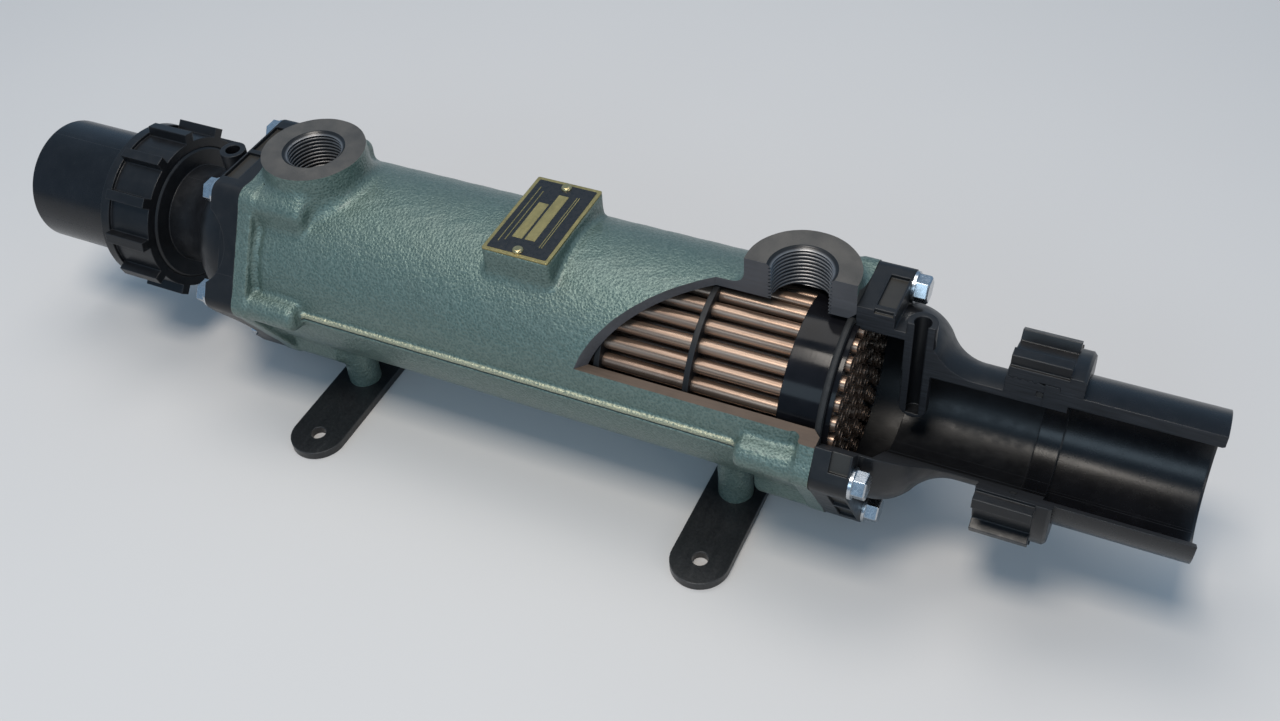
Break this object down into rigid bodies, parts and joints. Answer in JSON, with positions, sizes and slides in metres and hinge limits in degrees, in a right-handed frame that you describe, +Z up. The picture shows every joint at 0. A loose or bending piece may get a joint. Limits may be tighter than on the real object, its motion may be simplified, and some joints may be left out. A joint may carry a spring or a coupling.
{
  "type": "pool water heater",
  "caption": "Sectioned shell-and-tube pool water heater: cast shell with threaded side ports, tube bundle, end covers, pipe unions and foot straps.",
  "frame": {"origin": "on the floor plane, under the middle of the tube axis", "axes": "+X along the tubes towards the sectioned end, +Y away from the open window, +Z up"},
  "size_m": [0.693, 0.1836, 0.1559],
  "materials": {
    "green_hammered_paint": "hammered metallic enamel on cast iron",
    "brass_plate": "brushed, part enamelled black",
    "brass_pin": "polished",
    "copper_alloy_tube": "drawn, dull satin",
    "black_baffle": "moulded",
    "black_tube_plate": "machined, glossy",
    "seal_rubber": "moulded",
    "black_moulding": "glass-filled, moulded",
    "zinc_plated_steel": "bright zinc",
    "black_pipe_plastic": "moulded, satin",
    "black_nut_plastic": "moulded, satin",
    "black_strap_paint": "black powder coat",
    "dark_steel": "self-colour"
  },
  "bodies": {
    "body": {"baffles": "black_baffle", "cover_bolts_left": "zinc_plated_steel", "cover_bolts_right": "zinc_plated_steel", "end_cover_left": "black_moulding", "end_cover_right": "black_moulding", "mounting_strap_left": "black_strap_paint", "mounting_strap_right": "black_strap_paint", "nameplate": "brass_plate", "nameplate_pins": "brass_pin", "shell_casting": "green_hammered_paint", "strap_screws": "dark_steel", "tube_bundle": "copper_alloy_tube", "tube_plate_left": "black_tube_plate", "tube_plate_right": "black_tube_plate", "tube_plate_seal_left": "seal_rubber", "tube_plate_seal_right": "seal_rubber", "union_seal_left": "seal_rubber", "union_seal_right": "seal_rubber", "union_tail_left": "black_pipe_plastic", "union_tail_right": "black_pipe_plastic"},
    "union_nut_left": {"union_nut_left": "black_nut_plastic"},
    "union_nut_right": {"union_nut_right": "black_nut_plastic"}
  },
  "joints": [
    {"name": "left_nut_turn", "type": "hinge", "parent": "body", "child": "union_nut_left", "pos_m": [-0.264, 0, 0.083], "axis": [-1, 0, 0], "continuous": true},
    {"name": "right_nut_turn", "type": "hinge", "parent": "body", "child": "union_nut_right", "pos_m": [0.264, 0, 0.083], "axis": [1, 0, 0], "continuous": true}
  ]
}
